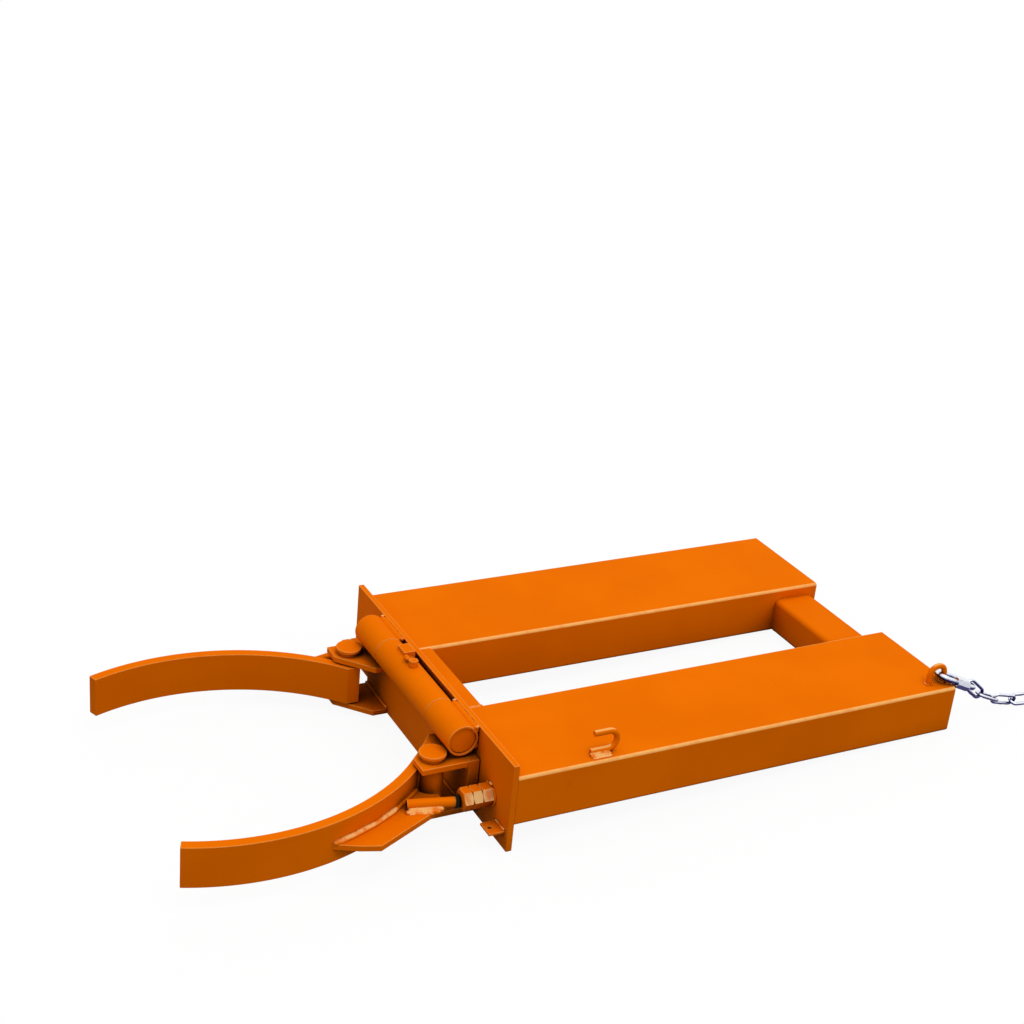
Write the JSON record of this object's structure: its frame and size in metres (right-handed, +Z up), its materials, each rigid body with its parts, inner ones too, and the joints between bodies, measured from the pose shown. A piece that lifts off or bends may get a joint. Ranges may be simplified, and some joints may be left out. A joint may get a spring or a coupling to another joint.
{
  "type": "drum lifter",
  "caption": "Fork-mounted drum lifter: box-section fork sleeves, a front plate with a hinge tube, a tilting carrier with curved swinging jaws, adjusting bolts and a securing chain.",
  "frame": {"origin": "middle of the lifter's footprint without its chain, level with the bottom edge of the front plate", "axes": "+Y along the fork sleeves towards the open rear ends where the forks enter, -Y towards the jaw tips, +Z up, +X to the side that carries the chain"},
  "size_m": [0.7442, 1.4193, 0.1411],
  "materials": {
    "orange_paint": "glossy orange enamel over welded steel",
    "black_rubber": "matt black",
    "zinc_steel": "bright zinc plate"
  },
  "bodies": {
    "frame": {"fork_sleeve_left": "orange_paint", "fork_sleeve_right": "orange_paint", "front_plate": "orange_paint", "front_cross_member": "orange_paint", "rear_cross_bar": "orange_paint", "hinge_knuckle_left": "orange_paint", "hinge_knuckle_right": "orange_paint", "hinge_pin": "orange_paint", "weld_nut_left": "orange_paint", "weld_nut_right": "orange_paint", "lock_nut_left": "orange_paint", "lock_nut_right": "orange_paint", "adjusting_bolt_left": "orange_paint", "adjusting_bolt_right": "orange_paint", "tab_left": "orange_paint", "tab_right": "orange_paint", "chain_hook": "orange_paint", "chain_lug": "orange_paint", "quick_link": "zinc_steel", "quick_link_nut": "zinc_steel", "chain_drop": "zinc_steel", "chain_coil": "zinc_steel"},
    "carrier": {"carrier_bar": "orange_paint", "centre_knuckle": "orange_paint", "stop_lug": "orange_paint", "grease_nipple": "orange_paint", "upper_clevis_left": "orange_paint", "upper_clevis_right": "orange_paint", "lower_clevis_left": "orange_paint", "lower_clevis_right": "orange_paint", "pivot_pin_left": "orange_paint", "pivot_pin_right": "orange_paint", "spacer_washer_left": "orange_paint", "spacer_washer_right": "orange_paint", "tail_washer_left": "orange_paint", "tail_washer_right": "orange_paint", "split_pin_left": "zinc_steel", "split_pin_right": "zinc_steel"},
    "jaw_right": {"jaw_right": "orange_paint", "jaw_hub_right": "orange_paint", "lever_plate_right": "orange_paint", "push_rod_right": "orange_paint", "buffer_right": "black_rubber"},
    "jaw_left": {"jaw_left": "orange_paint", "jaw_hub_left": "orange_paint", "lever_plate_left": "orange_paint", "push_rod_left": "orange_paint", "buffer_left": "black_rubber"}
  },
  "joints": [
    {"name": "carrier_tilt", "type": "hinge", "parent": "frame", "child": "carrier", "pos_m": [0, -0.16829, 0.1082], "axis": [-1, 0, 0], "range_deg": [0, 20]},
    {"name": "jaw_right_swing", "type": "hinge", "parent": "carrier", "child": "jaw_right", "pos_m": [0.14, -0.20309, 0.045], "axis": [0, 0, 1], "range_deg": [0, 21]},
    {"name": "jaw_left_swing", "type": "hinge", "parent": "carrier", "child": "jaw_left", "pos_m": [-0.14, -0.20309, 0.045], "axis": [0, 0, -1], "range_deg": [0, 21]}
  ],
  "couplings": [
    {"joint": "jaw_right_swing", "follows": "carrier_tilt", "ratio": 1.05},
    {"joint": "jaw_left_swing", "follows": "carrier_tilt", "ratio": 1.05}
  ]
}
